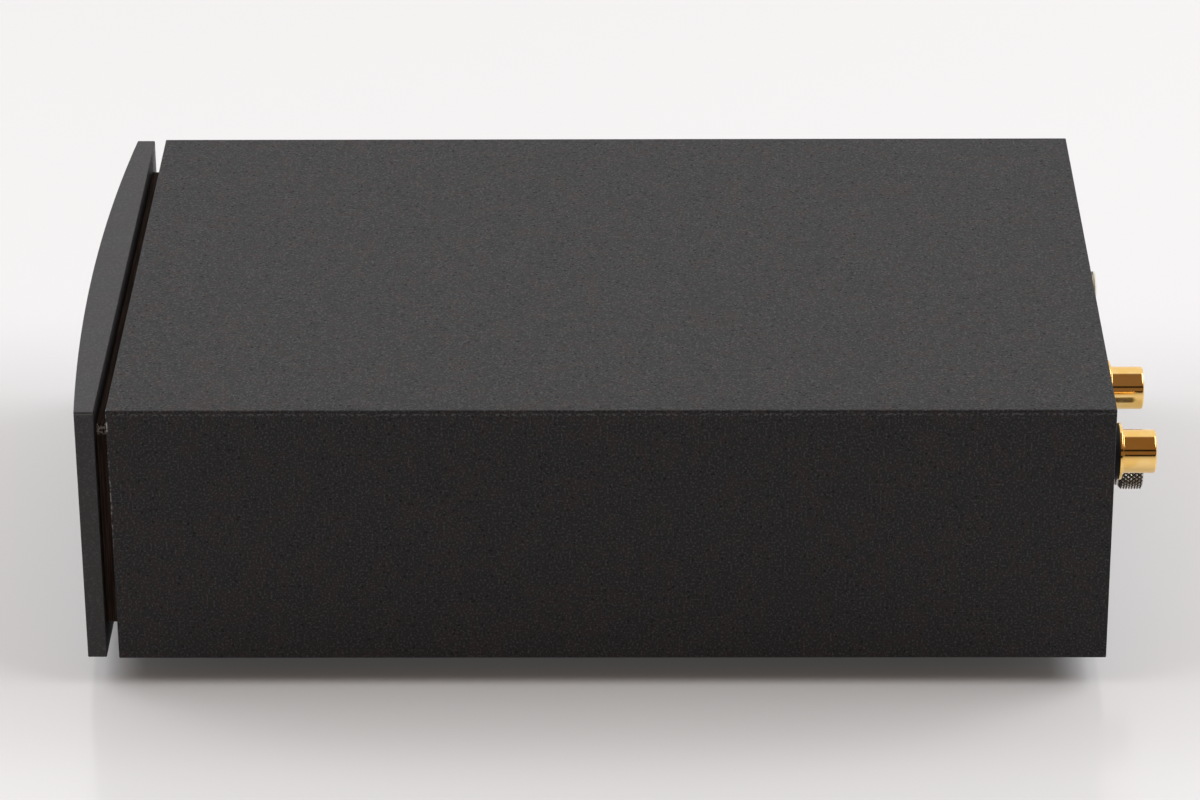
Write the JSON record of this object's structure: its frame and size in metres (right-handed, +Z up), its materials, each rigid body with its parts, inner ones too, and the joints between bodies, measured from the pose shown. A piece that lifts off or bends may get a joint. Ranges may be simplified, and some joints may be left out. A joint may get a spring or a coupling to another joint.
{
  "type": "phono preamp",
  "caption": "Small black box-section phono preamp with a bowed fascia standing off the front, gold phono sockets, a power inlet and a knurled ground nut at the rear.",
  "frame": {"origin": "on the floor, below the middle of the object's bounding box", "axes": "+Z up; +Y out of the rear panel, the way the sockets face; -Y out of the bowed fascia; +X towards the side that faces the camera in the picture"},
  "size_m": [0.126, 0.205, 0.0585],
  "materials": {
    "powder_coat": "fine-textured satin black powder coat",
    "spacer_board": "dark brown laminated board",
    "black_panel": "smooth satin black paint on sheet steel",
    "bright_steel": "zinc-plated steel",
    "rubber": "black moulded rubber",
    "clear_acrylic": "clear polished acrylic",
    "lamp_plastic": "tinted lamp lens",
    "white_plastic": "natural nylon",
    "red_insulation": "red lead insulation",
    "board_green": "green solder mask over glass laminate",
    "can_sleeve": "dark blue shrink sleeve",
    "film_box": "red moulded box",
    "chip_black": "black moulding compound",
    "resistor_lacquer": "blue lacquer",
    "gold": "polished gold plate",
    "black_plastic": "black moulded nylon",
    "core_plastic": "white insulator",
    "grey_insulation": "dark grey lead insulation",
    "green_insulation": "green lead insulation",
    "nickel": "bright nickel plate",
    "inlet_nickel": "warm nickel plate"
  },
  "bodies": {
    "case": {"enclosure_tube": "powder_coat", "fascia": "powder_coat", "fascia_spacer": "spacer_board", "fascia_screws": "bright_steel", "chassis_tray": "black_panel", "rear_panel": "black_panel", "clinch_nuts": "bright_steel", "feet": "rubber", "foot_screws": "bright_steel", "light_pipe": "clear_acrylic", "lamp_holder": "white_plastic", "power_lamp": "lamp_plastic", "lamp_leads": "red_insulation", "circuit_board": "board_green", "board_standoffs": "bright_steel", "board_screws": "bright_steel", "reservoir_capacitors": "can_sleeve", "coupling_capacitors": "can_sleeve", "film_capacitors": "film_box", "amplifier_chips": "chip_black", "chip_sockets": "chip_black", "resistors": "resistor_lacquer", "voltage_regulators": "chip_black", "wire_headers": "white_plastic", "input_left_shell": "gold", "input_left_washer": "black_plastic", "input_left_inner_washer": "black_plastic", "input_left_tag": "gold", "input_left_nut": "gold", "input_left_core": "core_plastic", "input_left_contact": "gold", "input_right_shell": "gold", "input_right_washer": "black_plastic", "input_right_inner_washer": "black_plastic", "input_right_tag": "gold", "input_right_nut": "gold", "input_right_core": "core_plastic", "input_right_contact": "gold", "input_leads": "grey_insulation", "output_left_housing": "black_plastic", "output_left_shell": "gold", "output_left_core": "core_plastic", "output_left_contact": "gold", "output_right_housing": "black_plastic", "output_right_shell": "gold", "output_right_core": "core_plastic", "output_right_contact": "gold", "ground_stud": "nickel", "ground_lock_washer": "nickel", "ground_fixed_nut": "nickel", "ground_tag": "gold", "ground_lead": "green_insulation", "inlet_body": "black_plastic", "inlet_bushing": "inlet_nickel", "inlet_washer": "inlet_nickel", "inlet_nut": "inlet_nickel", "inlet_pin": "inlet_nickel", "inlet_leads": "red_insulation"},
    "clamp_washer": {"ground_washer": "nickel"},
    "thumb_nut": {"ground_thumb_nut": "nickel"}
  },
  "joints": [
    {"name": "ground_washer_travel", "type": "slide", "parent": "case", "child": "clamp_washer", "axis": [0, 1, 0], "range_m": [0, 0.003]},
    {"name": "ground_nut_turn", "type": "hinge", "parent": "clamp_washer", "child": "thumb_nut", "pos_m": [0.031, 0.0993, 0.0307], "axis": [0, 1, 0], "range_deg": [0, 1542.86]}
  ],
  "couplings": [
    {"joint": "ground_nut_turn", "follows": "ground_washer_travel", "rad_per_m": 8976}
  ]
}
